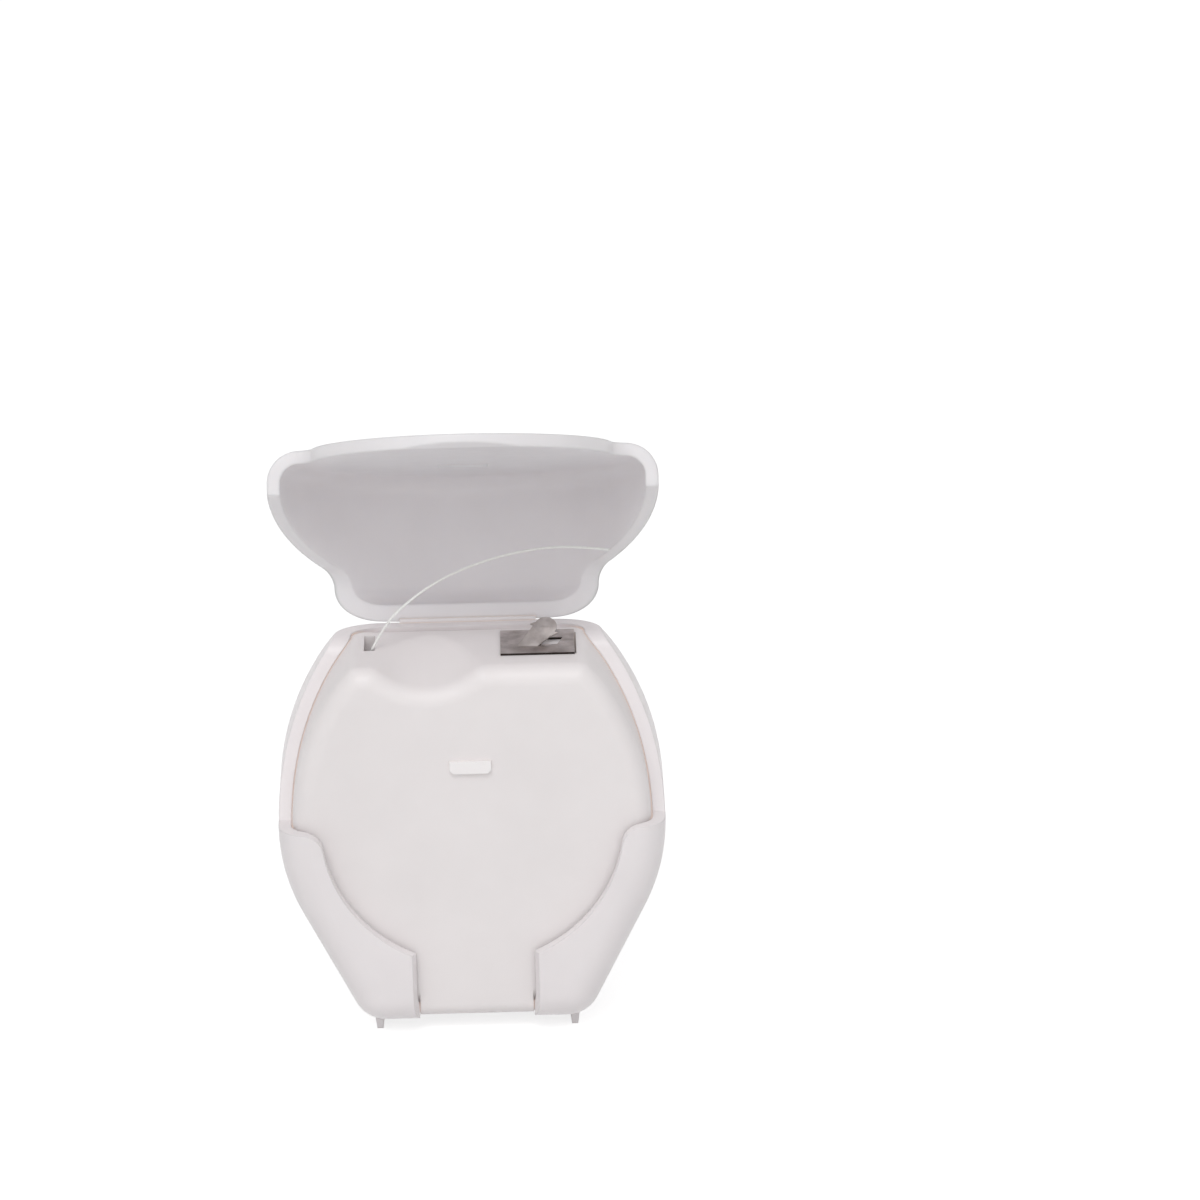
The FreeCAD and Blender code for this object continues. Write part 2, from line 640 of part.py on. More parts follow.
def make_inner_housing():
    """Insert that holds the spool: front, sides and a deck with a scoop and two slots."""
    body = rounded_form("HousingForm", HOUSING_INSET, HOUSING_FRONT, INNER_FRONT)
    round_edges(body, on_plane("y", INNER_FRONT), size("back_edge_radius") - HOUSING_INSET)
    trim_above(body, DECK_Z)
    deck = on_plane("z", DECK_Z)
    middle = HOUSING_FRONT.number / 2
    round_edges(
        body,
        lambda point: deck(point) and abs(point.x) > middle and abs(point.y) < HOUSING_FRONT.number + 1e-4,
        size("deck_corner_radius"),
    )
    cut_scoop(body)
    round_edges(body, on_plane("y", -HOUSING_FRONT), size("housing_edge_radius"))
    chamber = rounded_form("ChamberForm", CHAMBER_INSET, CHAMBER_FRONT, INNER_FRONT + SPARE)
    trim_above(chamber, CHAMBER_TOP)
    exit_slot = block(
        "ExitSlot",
        (EXIT_X - size("slot_width") / 2, SLOT_FRONT, CHAMBER_TOP - SPARE),
        (EXIT_X + size("slot_width") / 2, SLOT_FRONT + size("slot_length"), DECK_Z + SPARE),
    )
    play = size("hook_play")
    cutter_slot = block(
        "CutterSlot",
        (HOOK_X - size("cutter_thickness") - play, CUTTER_FRONT + size("hook_end") - play,
         DECK_Z - size("cutter_slot_depth")),
        (HOOK_X + play, CUTTER_BACK - size("hook_end") + play, DECK_Z + SPARE),
    )
    hollow = combine("Part::Cut", "HousingShell", body, chamber, exit_slot, cutter_slot)
    housing = combine("Part::Fuse", "Housing", hollow, make_lip(), make_snap_rib())
    housing.Label = "inner_housing"
    return housing


def cut_scoop(body):
    """Round finger scoop in the deck, its axis rising towards the back, with a soft edge."""
    radius = size("scoop_radius")
    depth = size("scoop_depth")
    run = HOUSING_FRONT + INNER_FRONT - size("scoop_back_gap")
    tilt = (depth / run).angle()
    slant = (run * run + depth * depth).root()
    sketch = new_sketch(body, "XZ_Plane")
    lean = FreeCAD.Rotation(Vector(1, 0, 0), tilt.number)
    sketch.AttachmentOffset = FreeCAD.Placement(Vector(), lean)
    bind(sketch, "AttachmentOffset.Rotation.Angle", tilt)
    bind(sketch, "AttachmentOffset.Base.y", DECK_Z + radius - depth - radius * depth / slant)
    bind(sketch, "AttachmentOffset.Base.z", HOUSING_FRONT + radius * run / slant)
    place = Vector(SCOOP_X.number, 0, 0)
    ring = sketch.addGeometry(Part.Circle(place, Vector(0, 0, 1), radius.number), False)
    measure(sketch, "Radius", (ring,), radius)
    place_point(sketch, ring, 3, SCOOP_X, 0.0)
    pocket(body, sketch, radius + size("case_depth") * 2)
    deck = on_plane("z", DECK_Z)
    reach = (radius * depth * 2 - depth * depth).root().number + SPARE / 10
    round_edges(
        body,
        lambda point: deck(point) and abs(point.x - SCOOP_X.number) < reach,
        size("scoop_edge_radius"),
    )


def make_lip():
    """Foot of the housing's front, down through the thumb notch to the underside."""
    body = new_body("Lip")
    low = BASE + size("lip_raise")
    high = BASE + HOUSING_INSET + size("housing_edge_radius")
    half = NOTCH_HALF - size("seam_gap")
    sketch = new_sketch(body, "YZ_Plane")
    rectangle(sketch, -HOUSING_FRONT, low, -HOUSING_FRONT + size("lip_depth"), high)
    pad(body, sketch, half * 2, symmetric=True)
    front = on_plane("y", -HOUSING_FRONT)
    under = on_plane("z", low)
    round_edges(body, lambda point: front(point) and under(point), size("lip_edge_radius"))
    return body


def make_snap_rib():
    """Rib on the housing's front that the lid's catch snaps under."""
    body = new_body("SnapRib")
    sketch = new_sketch(body, "XZ_Plane", HOUSING_FRONT - size("housing_wall") / 2)
    half = size("rib_width") / 2
    low = RIB_TOP - size("rib_height")
    cut = size("rib_chamfer")
    polygon(sketch, [
        (-half, RIB_TOP),
        (-half, low + cut),
        (cut - half, low),
        (half - cut, low),
        (half, low + cut),
        (half, RIB_TOP),
    ])
    pad(body, sketch, size("rib_stand") + size("housing_wall") / 2)
    return body


def make_hinge():
    """Folded web of the living hinge, on the hinge line."""
    web = hinge_rod("HingeWeb", size("hinge_radius"), size("hinge_width"))
    web.Label = "hinge_web"
    return web


def make_label():
    """Oval label film on the flat of the lid's front."""
    oval = document.addObject("Part::Ellipse", "LabelOval")
    axes = FreeCAD.Rotation(Vector(0, 0, 1), Vector(-1, 0, 0), Vector(0, -1, 0), "XYZ")
    oval.Placement = FreeCAD.Placement(Vector(), axes)
    top = HINGE_Z + size("label_top")
    low = TONGUE_TIP + size("label_tip_gap")
    bind(oval, "MajorRadius", (top - low) / 2)
    bind(oval, "MinorRadius", TONGUE_RADIUS - size("label_margin"))
    bind(oval, "Placement.Base.y", -HALF_DEPTH)
    bind(oval, "Placement.Base.z", (top + low) / 2)
    film = document.addObject("Part::Extrusion", "LabelFilm")
    film.Base = oval
    film.DirMode = "Custom"
    film.Dir = Vector(0, -1, 0)
    film.Solid = True
    bind(film, "LengthFwd", size("label_thickness"))
    film.Label = "lid_label"
    document.recompute()
    return film


def turned_ring(name, corners):
    """A ring about the spool's axis: corners are pairs of radius and place along Y."""
    body = new_body(name)
    sketch = new_sketch(body, "XY_Plane")
    polygon(sketch, corners)
    ring = body.newObject("PartDesign::Revolution", f"{name}_turn")
    ring.Profile = sketch
    ring.ReferenceAxis = (sketch, ["V_Axis"])
    ring.Angle = 360
    bind(body, "Placement.Base.z", SPOOL_Z)
    document.recompute()
    return body


def make_spool():
    """Flanged spool that turns on the post, and the floss wound on it."""
    near = -CHAMBER_FRONT + size("spool_play")
    far = INNER_FRONT - size("spool_play")
    near_flange = near + size("flange_thickness")
    far_flange = far - size("flange_thickness")
    bore = size("post_radius") + size("post_clearance")
    hub = size("hub_radius")
    rim = FLANGE_RADIUS
    spool = turned_ring("Spool", [
        (bore, near), (rim, near), (rim, near_flange), (hub, near_flange),
        (hub, far_flange), (rim, far_flange), (rim, far), (bore, far),
    ])
    spool.Label = "floss_spool"
    full = WINDING_RADIUS
    winding = turned_ring("Winding", [
        (hub, near_flange), (full, near_flange), (full, far_flange), (hub, far_flange),
    ])
    winding.Label = "floss_winding"
    return spool, winding


def make_cutter():
    """Steel cutter on the deck: plate, hooked right end and the raised blade."""
    body = new_body("Cutter")
    sheet_metal = size("cutter_thickness")
    left = HOOK_X - size("cutter_width")
    right = HOOK_X
    root_y = CUTTER_FRONT + size("blade_setback")
    sketch = new_sketch(body, "XY_Plane", DECK_Z)
    rectangle(sketch, left, CUTTER_FRONT, right, CUTTER_BACK)
    pad(body, sketch, sheet_metal)
    window_left = left + size("blade_left") + size("blade_root") * 0.7
    window_right = left + size("blade_tip_offset") + size("blade_tip_radius")
    sketch = new_sketch(body, "XY_Plane", DECK_Z)
    polygon(sketch, [
        (window_left, root_y + sheet_metal * 2),
        (window_right, root_y + sheet_metal * 2),
        (window_right + size("blade_tip_radius") / 2, root_y + size("blade_rise")),
        (window_left + size("blade_tip_radius") / 2, root_y + size("blade_rise")),
    ])
    pocket(body, sketch, sheet_metal, reverse=True)
    hook_front = CUTTER_FRONT + size("hook_end")
    sketch = new_sketch(body, "XZ_Plane", -hook_front)
    rectangle(sketch, right - sheet_metal, DECK_Z - size("hook_depth"), right, DECK_Z + sheet_metal)
    pad(body, sketch, size("cutter_length") - size("hook_end") * 2, reverse=True)
    add_blade(body, left, root_y)
    body.Label = "floss_cutter"
    return body


def blade_sketch(body, root_y):
    """A sketch that leans back from the blade's root: X as in the part, Y up along the blade."""
    sketch = new_sketch(body, "XZ_Plane")
    lean = FreeCAD.Rotation(Vector(-1, 0, 0), size("blade_lean").number)
    sketch.AttachmentOffset = FreeCAD.Placement(Vector(), lean)
    bind(sketch, "AttachmentOffset.Rotation.Angle", size("blade_lean"))
    bind(sketch, "AttachmentOffset.Base.y", DECK_Z + size("cutter_thickness") / 2)
    bind(sketch, "AttachmentOffset.Base.z", -root_y)
    return sketch


def add_blade(body, plate_left, root_y):
    """The blade: a leaning leaf with a round tip, bent up from the plate, and two small barbs."""
    left = plate_left + size("blade_left")
    right = left + size("blade_root")
    tip_x = plate_left + size("blade_tip_offset")
    rise = size("blade_rise")
    radius = size("blade_tip_radius")
    sketch = blade_sketch(body, root_y)
    centre = Vector(tip_x.number, rise.number, 0)

    def tangent_angle(start_x, side):
        """Where a line from a root corner touches the tip's circle."""
        across = start_x.number - centre.x
        down = -centre.y
        away = math.hypot(across, down)
        return math.atan2(down, across) + side * math.acos(radius.number / away)

    start = tangent_angle(right, 1)
    end = tangent_angle(left, -1) + 2 * math.pi
    circle = Part.Circle(centre, Vector(0, 0, 1), radius.number)
    touch_right = circle.value(start)
    touch_left = circle.value(end)
    low_left = Vector(left.number, 0, 0)
    low_right = Vector(right.number, 0, 0)
    root = sketch.addGeometry(Part.LineSegment(low_left, low_right), False)
    right_edge = sketch.addGeometry(Part.LineSegment(low_right, touch_right), False)
    tip = sketch.addGeometry(Part.ArcOfCircle(circle, start, end), False)
    left_edge = sketch.addGeometry(Part.LineSegment(touch_left, low_left), False)
    for kind, first, first_end, second, second_end in (
        ("Coincident", root, 2, right_edge, 1),
        ("Tangent", right_edge, 2, tip, 1),
        ("Tangent", tip, 2, left_edge, 1),
        ("Coincident", left_edge, 2, root, 1),
    ):
        sketch.addConstraint(Sketcher.Constraint(kind, first, first_end, second, second_end))
    place_point(sketch, root, 1, left, 0.0)
    place_point(sketch, root, 2, right, 0.0)
    place_point(sketch, tip, 3, tip_x, rise)
    measure(sketch, "Radius", (tip,), radius)
    pad(body, sketch, size("cutter_thickness"), symmetric=True)
    barb = size("blade_barb")
    for corner_x, corner_y, way in ((tip_x - radius * 0.7, rise + barb, -1), (tip_x + radius * 0.4, rise - barb * 2, 1)):
        sketch = blade_sketch(body, root_y)
        polygon(sketch, [
            (corner_x, corner_y - barb),
            (corner_x + barb * (2 * way), corner_y),
            (corner_x, corner_y + barb * 0.6),
        ] if way > 0 else [
            (corner_x, corner_y + barb * 0.6),
            (corner_x + barb * (2 * way), corner_y),
            (corner_x, corner_y - barb),
        ])
        pad(body, sketch, size("cutter_thickness"), symmetric=True)


def make_lead():
    """Floss inside the housing, straight from the winding to the exit slot."""
    exit_point = strand_points()[0]
    axis = Vector(0, exit_point.y, SPOOL_Z.number)
    reach = WINDING_RADIUS.number + size("lead_gap").number + size("floss_diameter").number / 2
    across = math.hypot(exit_point.x, exit_point.z - axis.z)
    leave = math.atan2(exit_point.z - axis.z, exit_point.x) + math.acos(reach / across)
    middle_y = (INNER_FRONT.number - CHAMBER_FRONT.number) / 2
    start = Vector(reach * math.cos(leave), middle_y, axis.z + reach * math.sin(leave))
    run = exit_point - start
    lead = document.addObject("Part::Cylinder", "Lead")
    bind(lead, "Radius", size("floss_diameter") / 2)
    lead.Height = run.Length
    lead.Placement = FreeCAD.Placement(start, FreeCAD.Rotation(Vector(0, 0, 1), run))
    lead.Label = "floss_lead"
    return lead


def strand_points():
    """The free floss's route in the dispenser's frame."""
    start = Vector(EXIT_X.number, HINGE_Y.number, HINGE_Z.number)
    return [start + Vector(*point) for point in STRAND_ROUTE]


def make_strand():
    """Free end of the floss: a thin tube along straight runs and the largest tangent arcs."""
    points = strand_points()
    diameter = size("floss_diameter").number
    edges = []
    cursor = points[0]
    radii = []
    for before, corner, after in zip(points, points[1:], points[2:]):
        inward = (before - corner).normalize()
        outward = (after - corner).normalize()
        half_turn = (math.pi - inward.getAngle(outward)) / 2
        shorter = min((before - corner).Length, (after - corner).Length)
        radius = ARC_SHARE * shorter / math.tan(half_turn)
        setback = ARC_SHARE * shorter
        start = corner + inward * setback
        end = corner + outward * setback
        bisector = (inward + outward).normalize()
        centre = corner + bisector * (radius / math.cos(half_turn))
        middle = centre - bisector * radius
        edges.append(Part.LineSegment(cursor, start).toShape())
        edges.append(Part.Arc(start, middle, end).toShape())
        radii.append(radius)
        cursor = end
    edges.append(Part.LineSegment(cursor, points[-1]).toShape())
    path = Part.Wire(edges)
    heading = (points[1] - points[0]).normalize()
    section = Part.Wire([Part.Circle(points[0], heading, diameter / 2).toShape()])
    tube = path.makePipeShell([section], True, False)
    expected = path.Length * math.pi * diameter ** 2 / 4
    print("strand arc radii", [round(radius, 2) for radius in radii])
    print("strand length", round(path.Length, 2), "volume", round(tube.Volume, 4), "expected", round(expected, 4))
    if abs(tube.Volume - expected) > VOLUME_TOLERANCE * expected:
        raise RuntimeError("the strand's tube doesn't hold its section times its length")
    strand = document.addObject("Part::Feature", "Strand")
    strand.Shape = tube
    strand.Label = "floss_strand"
    return strand


def open_lid(pieces):
    """Turn the lid's pieces open about the hinge line."""
    hinge = Vector(0, HINGE_Y.number, HINGE_Z.number)
    turn = FreeCAD.Rotation(Vector(1, 0, 0), -size("lid_angle").number)
    for piece in pieces:
        piece.Placement = FreeCAD.Placement(Vector(), turn, hinge)


def check_and_write(pieces):
    """Every object has to be sound, and every piece one valid solid, before the files are written."""
    for item in document.Objects:
        if "Invalid" in item.State or "Error" in item.State:
            raise RuntimeError(f"{item.Name} failed: {item.State}")
    for piece in pieces:
        if piece.Shape.isNull() or not piece.Shape.isValid():
            raise RuntimeError(f"{piece.Label} has no valid shape")
        if len(piece.Shape.Solids) != 1:
            raise RuntimeError(f"{piece.Label} holds {len(piece.Shape.Solids)} solids")
    os.makedirs("parts", exist_ok=True)
    for piece in pieces:
        piece.Shape.exportStep(f"parts/{piece.Label}.step")
        box = piece.Shape.BoundBox
        low = [round(value, 2) for value in (box.XMin, box.YMin, box.ZMin)]
        high = [round(value, 2) for value in (box.XMax, box.YMax, box.ZMax)]
        print(piece.Label, "volume", round(piece.Shape.Volume, 1), low, high)


def main():
    form = case_form()
    case_cavity = cavity_form("CaseCavity", INNER_FRONT)
    lid_cavity = cavity_form("LidCavity", HALF_DEPTH - size("hinge_wall"))
    zone = lid_zone("LidZone", 0.0, size("wall"))
    clearance = lid_zone("LidClearance", size("parting_gap"), size("housing_setback"))
    groove_radius = size("hinge_radius") + size("hinge_clearance")
    groove_length = size("hinge_width") + size("hinge_clearance") * 2
    groove = hinge_rod("HingeGroove", groove_radius, groove_length)
    case = make_outer_case(form, case_cavity, clearance, groove)
    housing = make_inner_housing()
    lid = make_lid(form, lid_cavity, zone, groove)
    label = make_label()
    hinge = make_hinge()
    spool, winding = make_spool()
    cutter = make_cutter()
    lead = make_lead()
    strand = make_strand()
    document.recompute()
    open_lid([lid, label])
    document.recompute()
    check_and_write([case, housing, lid, hinge, label, spool, winding, cutter, lead, strand])


main()
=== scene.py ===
"""Looks of the dental floss dispenser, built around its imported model. Metres, and millimetres where said."""
import math

import bpy
from mathutils import Matrix, Vector


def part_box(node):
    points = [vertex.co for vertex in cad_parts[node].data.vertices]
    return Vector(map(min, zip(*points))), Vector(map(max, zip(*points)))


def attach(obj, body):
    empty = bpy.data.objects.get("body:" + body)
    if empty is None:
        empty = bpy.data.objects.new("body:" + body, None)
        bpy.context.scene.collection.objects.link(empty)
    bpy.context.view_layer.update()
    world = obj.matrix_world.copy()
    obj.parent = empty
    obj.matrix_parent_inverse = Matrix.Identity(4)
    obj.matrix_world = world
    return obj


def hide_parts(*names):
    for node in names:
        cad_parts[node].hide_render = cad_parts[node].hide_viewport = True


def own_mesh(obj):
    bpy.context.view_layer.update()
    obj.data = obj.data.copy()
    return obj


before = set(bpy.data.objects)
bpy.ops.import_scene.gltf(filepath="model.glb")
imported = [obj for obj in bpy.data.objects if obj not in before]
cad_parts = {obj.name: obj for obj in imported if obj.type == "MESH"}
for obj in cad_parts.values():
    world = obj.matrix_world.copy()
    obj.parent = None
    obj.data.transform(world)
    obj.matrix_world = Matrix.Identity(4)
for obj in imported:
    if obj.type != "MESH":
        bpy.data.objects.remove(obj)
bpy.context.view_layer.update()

MM = 0.001
HINGE = Vector((0.0, 10.5, 51.3)) * MM

# Camera: the view fitted to the photograph, hinge line at a pixel of its 1200 by 1200 frame.
PHOTO_SIZE = 1200
PIXELS_PER_MM = 7.561
HINGE_PIXEL = (467.5, 619.5)
CAMERA_DISTANCE = 1.0
CAMERA_ELEVATION = math.radians(20.1)
CAMERA_AZIMUTH = math.radians(0.55)
CAMERA_ROLL = math.radians(1.26)
SENSOR = 36.0
NEAREST = 0.05
FARTHEST = 20.0

# Free end of the floss in millimetres: X from the middle of the exit slot, Y back from the hinge, Z above it.
EXIT_X = -12.898
STRAND_ROUTE = [
    (0.3, -10.0, -0.3),
    (2.1, -9.8, 3.1),
    (4.9, -9.4, 5.9),
    (9.7, -8.4, 9.0),
    (16.4, -6.8, 11.05),
    (23.1, -5.3, 11.8),
    (28.5, -4.4, 11.35),
    (31.8, -3.9, 10.7),
]
FLOSS_DIAMETER = 0.32 * MM
CURVE_ORDER = 3
CURVE_STEPS = 14

# Wound floss on the spool, and its lead to the exit slot, the lead's points in millimetres.
SPOOL_AXIS_Z = 26.21 * MM
HUB_RADIUS = 5.6 * MM
WINDING_TURNS = 24
LEAD_ROUTE = [(-15.3, 0.95, 28.0), (-14.5, 0.8, 35.0), (-13.5, 0.62, 43.5), (-12.598, 0.5, 51.0)]

# Front wall of the inner housing, the underside of its snap rib, and how far the painted highlight on it
# fades.
HOUSING_FRONT = -8.1 * MM
RIB_BOTTOM = 36.6 * MM
HIGHLIGHT_START = 0.03 * MM
HIGHLIGHT_FULL = 0.12 * MM
HIGHLIGHT_FADE = 1.0 * MM

# Stage and light: each lamp's name, place, width and power.
FLOOR_REACH = 3.0
FLOOR_PLAIN = (0.8, 0.8, 0.8, 1.0)
FLOOR_SHADOWED = (0.5, 0.5, 0.5, 1.0)
FLOOR_GLOW = 0.74
AMBIENT = 0.54
LAMP_TARGET = (0, 0, 0.045)
LAMPS = [
    ("key", (-0.18, -0.74, 0.86), 0.8, 3.15),
    ("deck_light", (-0.1, -0.6, 0.9), 0.2, 1.3),
    ("fill", (0.2, -0.95, 0.16), 0.6, 0.75),
]

# Rays for edges and gaps, the openness that counts as clear of a gap and as deep in it, and how far
# the painted seam light and the cutter's painted shade look for a wall.
EDGE_SAMPLES = 6
OPEN_SHARE = 0.55
DEEP_SHARE = 0.05
SEAM_REACH = 0.5 * MM
CUTTER_SHADE_REACH = 1.6 * MM


def srgb(red, green, blue):
    """A colour given in 0 to 255 steps, as linear light."""
    values = []
    for step in (red, green, blue):
        value = step / 255
        values.append(value / 12.92 if value <= 0.04045 else ((value + 0.055) / 1.055) ** 2.4)
    return (*values, 1.0)


# Painted seam light: a warm tint and a glow in the plastic's gaps, as if light came through it.
PAINTED_SEAM_LIGHT = srgb(222, 210, 203)
SEAM_GLOW = 0.26
SCATTER = (1.0, 0.95, 0.9)
# Painted highlight on the snap rib's proud face.
PAINTED_RIB_HIGHLIGHT = srgb(248, 244, 244)
# Painted shade on the cutter: dark in its gaps and on faces that turn away from up.
CUTTER_PAINTED_SHADE = srgb(58, 52, 50)


class Shader:
    """A material with one Principled shader and short ways to add nodes to it."""

    def __init__(self, name):
        self.material = bpy.data.materials.new(name)
        self.material.use_nodes = True
        self.tree = self.material.node_tree
        self.surface = self.tree.nodes["Principled BSDF"]
        where = self.add("ShaderNodeTexCoord")
        self.place = where.outputs["Object"]
        self.facing = where.outputs["Normal"]

    def add(self, kind, **settings):
        node = self.tree.nodes.new(kind)
        for key, value in settings.items():
            setattr(node, key, value)
        return node

    def link(self, source, target):
        self.tree.links.new(source, target)

    def set(self, **values):
        for key, value in values.items():
            self.surface.inputs[key.replace("_", " ")].default_value = value

    def scaled(self, x, y, z):
        """Object coordinates stretched along the axes."""
        node = self.add("ShaderNodeMapping")
        node.inputs["Scale"].default_value = (x, y, z)
        self.link(self.place, node.inputs["Vector"])
        return node.outputs["Vector"]

    def noise(self, scale, detail=2.0, vector=None):
        node = self.add("ShaderNodeTexNoise")
        node.inputs["Scale"].default_value = scale
        node.inputs["Detail"].default_value = detail
        self.link(vector or self.place, node.inputs["Vector"])
        return node.outputs["Fac"]

    def spread(self, value, low, high, new_low=0.0, new_high=1.0):
        """A value mapped from one range to another."""
        node = self.add("ShaderNodeMapRange")
        numbers = {"From Min": low, "From Max": high, "To Min": new_low, "To Max": new_high}
        for socket, number in numbers.items():
            node.inputs[socket].default_value = number
        self.link(value, node.inputs["Value"])
        return node.outputs["Result"]

    def mix(self, factor, first, second):
        """A colour between two, each a colour or a socket."""
        node = self.add("ShaderNodeMix", data_type="RGBA")
        self.link(factor, node.inputs["Factor"])
        for socket, value in ((node.inputs[6], first), (node.inputs[7], second)):
            if isinstance(value, tuple):
                socket.default_value = value
            else:
                self.link(value, socket)
        return node.outputs[2]

    def crevice(self, distance):
        """0 in the open and 1 deep in a gap."""
        node = self.add("ShaderNodeAmbientOcclusion", samples=EDGE_SAMPLES)
        node.inputs["Distance"].default_value = distance
        return self.spread(node.outputs["AO"], OPEN_SHARE, DEEP_SHARE)

    def bump(self, height, distance, strength, edge=0.0):
        """Relief in the surface, on edges softened by a radius where one is given."""
        node = self.add("ShaderNodeBump")
        node.inputs["Distance"].default_value = distance
        node.inputs["Strength"].default_value = strength
        self.link(height, node.inputs["Height"])
        if edge:
            soft = self.add("ShaderNodeBevel", samples=EDGE_SAMPLES)
            soft.inputs["Radius"].default_value = edge
            self.link(soft.outputs["Normal"], node.inputs["Normal"])
        self.link(node.outputs["Normal"], self.surface.inputs["Normal"])


def rib_highlight_mask(shader, front, bottom):
    """1 on what stands proud of a front wall above a level, where a highlight is painted on it, else 0."""
    place = shader.add("ShaderNodeSeparateXYZ")
    shader.link(shader.place, place.inputs["Vector"])
    proud = shader.spread(place.outputs["Y"], front - HIGHLIGHT_START, front - HIGHLIGHT_FULL)
    above = shader.spread(place.outputs["Z"], bottom - HIGHLIGHT_FADE, bottom)
    both = shader.add("ShaderNodeMath", operation="MULTIPLY")
    shader.link(proud, both.inputs[0])
    shader.link(above, both.inputs[1])
    return both.outputs[0]


def moulded_plastic(name, colour, shade, roughness, subsurface, radius, edge=0.14 * MM, rib=None):
    """White moulded plastic: fine mould grain, cloudy tone, a painted highlight on a rib where one is given,
    and in the seams a painted warm tint and glow, as of light through it.
    """
    shader = Shader(name)
    shader.set(Subsurface_Weight=subsurface, Subsurface_Scale=radius, IOR=1.49, Specular_IOR_Level=0.42)
    shader.surface.inputs["Subsurface Radius"].default_value = SCATTER
    cloud = shader.spread(shader.noise(90.0, 3.0), 0.3, 0.7)
    tone = shader.mix(cloud, colour, shade)
    # Painted highlight: the snap rib made lighter where it stands proud.
    if rib:
        tone = shader.mix(rib_highlight_mask(shader, *rib), tone, PAINTED_RIB_HIGHLIGHT)
    # Painted seam light: gaps tinted warm and made to glow.
    gap = shader.crevice(SEAM_REACH)
    seam_painted = shader.mix(gap, tone, PAINTED_SEAM_LIGHT)
    shader.link(seam_painted, shader.surface.inputs["Base Color"])
    shader.set(Emission_Color=PAINTED_SEAM_LIGHT)
    glow = shader.spread(gap, 0.0, 1.0, 0.0, SEAM_GLOW)
    shader.link(glow, shader.surface.inputs["Emission Strength"])
    grain = shader.noise(2600.0, 2.0)
    rough = shader.spread(shader.noise(420.0, 3.0), 0.3, 0.7, roughness - 0.05, roughness + 0.06)
    shader.link(rough, shader.surface.inputs["Roughness"])
    shader.bump(grain, 0.02 * MM, 0.22, edge)
    return shader.material


def label_film():
    """Blue printed film: a fine speckle of ink under a soft gloss."""
    shader = Shader("label_film")
    shader.set(IOR=1.5, Specular_IOR_Level=0.4, Coat_Weight=0.15, Coat_Roughness=0.3)
    speckle = shader.spread(shader.noise(5200.0, 1.0), 0.38, 0.62)
    ink = shader.mix(speckle, srgb(36, 152, 201), srgb(58, 168, 212))
    cloud = shader.spread(shader.noise(140.0, 2.0), 0.35, 0.65, 0.0, 0.3)
    print_tone = shader.mix(cloud, ink, srgb(47, 161, 206))
    shader.link(print_tone, shader.surface.inputs["Base Color"])
    rough = shader.spread(speckle, 0.0, 1.0, 0.42, 0.5)
    shader.link(rough, shader.surface.inputs["Roughness"])
    shader.bump(shader.noise(3800.0, 2.0), 0.01 * MM, 0.15)
    return shader.material


def cutter_steel():
    """Rolled sheet steel: fine lines along X, smudges, and painted shade in its gaps and on its edge faces."""
    shader = Shader("cutter_steel")
    shader.set(Metallic=1.0, Anisotropic=0.4)
    lines = shader.noise(1.0, 3.0, shader.scaled(160.0, 5200.0, 5200.0))
    smudge = shader.spread(shader.noise(520.0, 4.0), 0.35, 0.7)
    steel = shader.mix(smudge, srgb(208, 201, 198), srgb(166, 158, 154))
    # Painted shade: darker deep in gaps.
    shaded_steel = shader.mix(shader.crevice(CUTTER_SHADE_REACH), steel, CUTTER_PAINTED_SHADE)
    # Painted shade: faces that turn away from up, such as the sheet's edges, made dark.
    facing = shader.add("ShaderNodeSeparateXYZ")
    shader.link(shader.facing, facing.inputs["Vector"])
    upward = shader.add("ShaderNodeMath", operation="ABSOLUTE")
    shader.link(facing.outputs["Z"], upward.inputs[0])
    edge_faces = shader.spread(upward.outputs[0], 0.4, 0.2)
    shaded_steel = shader.mix(edge_faces, shaded_steel, CUTTER_PAINTED_SHADE)
    shader.link(shaded_steel, shader.surface.inputs["Base Color"])
    rough = shader.spread(lines, 0.3, 0.7, 0.26, 0.4)
    shader.link(rough, shader.surface.inputs["Roughness"])
    shader.bump(lines, 0.01 * MM, 0.2, edge=0.05 * MM)
    return shader.material


def waxed_floss():
    """White filaments under wax: faint lengthwise fibres and a soft sheen."""
    shader = Shader("floss")
    shader.set(Sheen_Weight=0.25, Sheen_Roughness=0.4)
    fibre = shader.noise(9000.0, 2.0)
    tone = shader.mix(shader.spread(fibre, 0.35, 0.65), srgb(246, 246, 244), srgb(228, 227, 224))
    shader.link(tone, shader.surface.inputs["Base Color"])
    rough = shader.spread(fibre, 0.3, 0.7, 0.4, 0.55)
    shader.link(rough, shader.surface.inputs["Roughness"])
    shader.bump(fibre, 0.03 * MM, 0.35)
    return shader.material


def new_object(name, vertices, faces, material, smooth=True):
    """A mesh object with one finish, in the scene."""
    mesh = bpy.data.meshes.new(name)
    mesh.from_pydata(vertices, [], faces)
    mesh.update()
    for face in mesh.polygons:
        face.use_smooth = smooth
    piece = bpy.data.objects.new(name, mesh)
    bpy.context.scene.collection.objects.link(piece)
    mesh.materials.append(material)
    return piece


def dress(node, material):
    """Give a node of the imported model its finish."""
    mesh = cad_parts[node].data
    mesh.materials.clear()
    mesh.materials.append(material)


